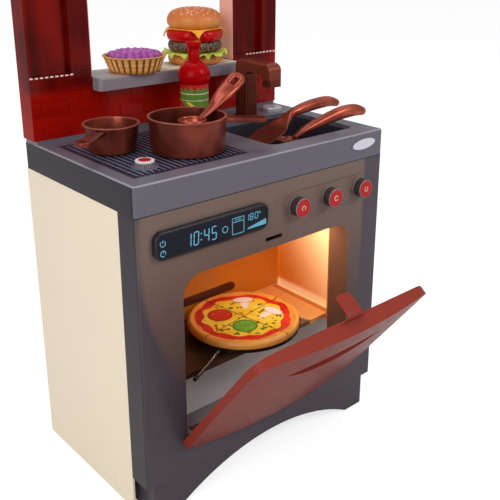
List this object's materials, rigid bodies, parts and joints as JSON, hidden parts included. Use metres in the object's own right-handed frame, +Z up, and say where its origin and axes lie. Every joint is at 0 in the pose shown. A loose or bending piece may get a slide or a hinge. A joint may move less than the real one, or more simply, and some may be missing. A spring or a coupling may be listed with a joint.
{
  "type": "toy kitchen unit",
  "caption": "Child's play pizzeria: oven with a drop-down door and a pizza, grooved hob with pans, sink with tap, and a red brick serving window with toy food.",
  "frame": {"origin": "on the floor, at the centre of the cabinet's footprint", "axes": "+X to the right seen from the front, +Y from the front to the back, +Z up"},
  "size_m": [0.5067, 0.5186, 0.95],
  "materials": {
    "smoky_shell": "smoky, slightly see-through moulded shell, soft gloss",
    "cream_panel": "plain cream, fine satin",
    "slate_plastic": "slate grey-violet, fine satin",
    "hob_slate": "dark blue-grey, grooved",
    "basin_grey": "dark grey, satin",
    "dark_bezel": "dark grey gloss",
    "display_glass": "near-black navy pane with lit symbols",
    "smoky_knob": "smoky turned plastic",
    "red_face": "red disc",
    "white_knob": "pale grey cap",
    "oven_lining": "warm pale lining, lit from inside",
    "shelf_taupe": "taupe gloss",
    "dark_brown": "dark brown bar",
    "lamp_glass": "warm lamp lens",
    "copper_door": "copper-red pearl plastic, satin gloss",
    "steel_pin": "plain steel",
    "copper_brown": "copper-brown pearl plastic",
    "dial_grey": "silver-grey plastic",
    "brick_red": "see-through brick red moulding",
    "shelf_grey": "cool grey, satin",
    "black_pan": "black, satin",
    "pizza_crust": "tan crust with printed topping",
    "sauce_red": "red bottle",
    "cap_red": "red cap",
    "label_print": "green and yellow printed sleeve",
    "pastry": "baked pastry",
    "berry_purple": "purple berries",
    "bun_tan": "baked bun",
    "lettuce_green": "yellow-green leaf",
    "patty_brown": "dark brown, speckled",
    "tomato_red": "tomato red",
    "cheese_yellow": "cheese yellow"
  },
  "bodies": {
    "cabinet": {"front_panel": "smoky_shell", "left_side_panel": "cream_panel", "right_side_panel": "cream_panel", "back_panel": "cream_panel", "base_plinth": "slate_plastic", "worktop": "slate_plastic", "hob_plate": "hob_slate", "sink_basin": "basin_grey", "display_bezel": "dark_bezel", "display_window": "display_glass", "knob_strip": "smoky_shell", "oven_liner": "oven_lining", "oven_shelf": "shelf_taupe", "back_rail": "dark_brown", "lamp_lens": "lamp_glass", "tap_collar": "copper_brown", "brick_panel": "brick_red", "left_column": "brick_red", "right_column": "brick_red", "header_panel": "brick_red", "window_shelf": "shelf_grey", "panel_screws": "steel_pin"},
    "oven_door": {"oven_door": "copper_door", "door_lining": "copper_door", "latch_tongue": "copper_door", "door_hinge_pins": "steel_pin"},
    "knob_left": {"oven_knob_left": "smoky_knob", "oven_knob_face_left": "red_face"},
    "knob_middle": {"oven_knob_middle": "smoky_knob", "oven_knob_face_middle": "red_face"},
    "knob_right": {"oven_knob_right": "smoky_knob", "oven_knob_face_right": "red_face"},
    "hob_knob": {"hob_knob": "white_knob", "hob_knob_face": "red_face"},
    "tap": {"tap_spout": "copper_brown"},
    "tap_dial": {"tap_dial": "dial_grey"},
    "small_pan": {"small_pan": "copper_brown"},
    "large_pan": {"large_pan": "copper_brown"},
    "ladle": {"ladle": "copper_brown"},
    "spatula": {"spatula": "copper_brown"},
    "serving_spoon": {"serving_spoon": "copper_brown"},
    "pizza_pan": {"pizza_pan": "black_pan"},
    "pizza_slice_back_right": {"pizza_slice_back_right": "pizza_crust"},
    "pizza_slice_back_left": {"pizza_slice_back_left": "pizza_crust"},
    "pizza_slice_front_left": {"pizza_slice_front_left": "pizza_crust"},
    "pizza_slice_front_right": {"pizza_slice_front_right": "pizza_crust"},
    "bottle": {"bottle": "sauce_red", "bottle_cap": "cap_red", "bottle_label": "label_print"},
    "tart": {"tart_crust": "pastry", "tart_filling": "berry_purple"},
    "bun_bottom": {"bun_bottom": "bun_tan"},
    "burger_lettuce": {"burger_lettuce": "lettuce_green"},
    "burger_patty": {"burger_patty": "patty_brown"},
    "burger_tomato": {"burger_tomato": "tomato_red"},
    "burger_cheese": {"burger_cheese": "cheese_yellow"},
    "bun_top": {"bun_top": "bun_tan"}
  },
  "joints": [
    {"name": "door_hinge", "type": "hinge", "parent": "cabinet", "child": "oven_door", "pos_m": [0, -0.142, 0.113], "axis": [1, 0, 0], "range_deg": [-37.7, 0]},
    {"name": "knob_left_turn", "type": "hinge", "parent": "cabinet", "child": "knob_left", "pos_m": [0.042, -0.1518, 0.426], "axis": [0, -1, 0], "continuous": true},
    {"name": "knob_middle_turn", "type": "hinge", "parent": "cabinet", "child": "knob_middle", "pos_m": [0.1125, -0.1518, 0.426], "axis": [0, -1, 0], "continuous": true},
    {"name": "knob_right_turn", "type": "hinge", "parent": "cabinet", "child": "knob_right", "pos_m": [0.183, -0.1518, 0.426], "axis": [0, -1, 0], "continuous": true},
    {"name": "hob_knob_turn", "type": "hinge", "parent": "cabinet", "child": "hob_knob", "pos_m": [-0.177, -0.082, 0.5143], "axis": [0, 0, 1], "continuous": true},
    {"name": "tap_swivel", "type": "hinge", "parent": "cabinet", "child": "tap", "pos_m": [0.123, 0.061, 0.5173], "axis": [0, 0, 1], "range_deg": [-90, 90]},
    {"name": "tap_dial_turn", "type": "hinge", "parent": "cabinet", "child": "tap_dial", "pos_m": [0.191, 0.069, 0.5143], "axis": [0, 0, 1], "continuous": true},
    {"name": "small_pan_lift", "type": "slide", "parent": "cabinet", "child": "small_pan", "axis": [0, 0, 1], "range_m": [0, 0.12]},
    {"name": "large_pan_lift", "type": "slide", "parent": "cabinet", "child": "large_pan", "axis": [0, 0, 1], "range_m": [0, 0.12]},
    {"name": "ladle_lift", "type": "slide", "parent": "large_pan", "child": "ladle", "axis": [0, 0, 1], "range_m": [0, 0.12]},
    {"name": "spatula_lift", "type": "slide", "parent": "cabinet", "child": "spatula", "axis": [0, 0, 1], "range_m": [0, 0.1]},
    {"name": "spoon_lift", "type": "slide", "parent": "cabinet", "child": "serving_spoon", "axis": [0, 0, 1], "range_m": [0, 0.1]},
    {"name": "pizza_pan_take_out", "type": "slide", "parent": "cabinet", "child": "pizza_pan", "axis": [0, -0.6, 0.8], "range_m": [0, 0.13]},
    {"name": "slice_back_right_lift", "type": "slide", "parent": "pizza_pan", "child": "pizza_slice_back_right", "axis": [0, 0, 1], "range_m": [0, 0.05]},
    {"name": "slice_back_left_lift", "type": "slide", "parent": "pizza_pan", "child": "pizza_slice_back_left", "axis": [0, 0, 1], "range_m": [0, 0.05]},
    {"name": "slice_front_left_lift", "type": "slide", "parent": "pizza_pan", "child": "pizza_slice_front_left", "axis": [0, 0, 1], "range_m": [0, 0.05]},
    {"name": "slice_front_right_lift", "type": "slide", "parent": "pizza_pan", "child": "pizza_slice_front_right", "axis": [0, 0, 1], "range_m": [0, 0.05]},
    {"name": "bottle_lift", "type": "slide", "parent": "cabinet", "child": "bottle", "axis": [0, 0, 1], "range_m": [0, 0.12]},
    {"name": "tart_lift", "type": "slide", "parent": "cabinet", "child": "tart", "axis": [0, 0, 1], "range_m": [0, 0.12]},
    {"name": "bun_bottom_lift", "type": "slide", "parent": "cabinet", "child": "bun_bottom", "axis": [0, 0, 1], "range_m": [0, 0.03]},
    {"name": "burger_lettuce_lift", "type": "slide", "parent": "bun_bottom", "child": "burger_lettuce", "axis": [0, 0, 1], "range_m": [0, 0.02]},
    {"name": "burger_patty_lift", "type": "slide", "parent": "burger_lettuce", "child": "burger_patty", "axis": [0, 0, 1], "range_m": [0, 0.02]},
    {"name": "burger_tomato_lift", "type": "slide", "parent": "burger_patty", "child": "burger_tomato", "axis": [0, 0, 1], "range_m": [0, 0.02]},
    {"name": "burger_cheese_lift", "type": "slide", "parent": "burger_tomato", "child": "burger_cheese", "axis": [0, 0, 1], "range_m": [0, 0.02]},
    {"name": "bun_top_lift", "type": "slide", "parent": "burger_cheese", "child": "bun_top", "axis": [0, 0, 1], "range_m": [0, 0.02]}
  ]
}
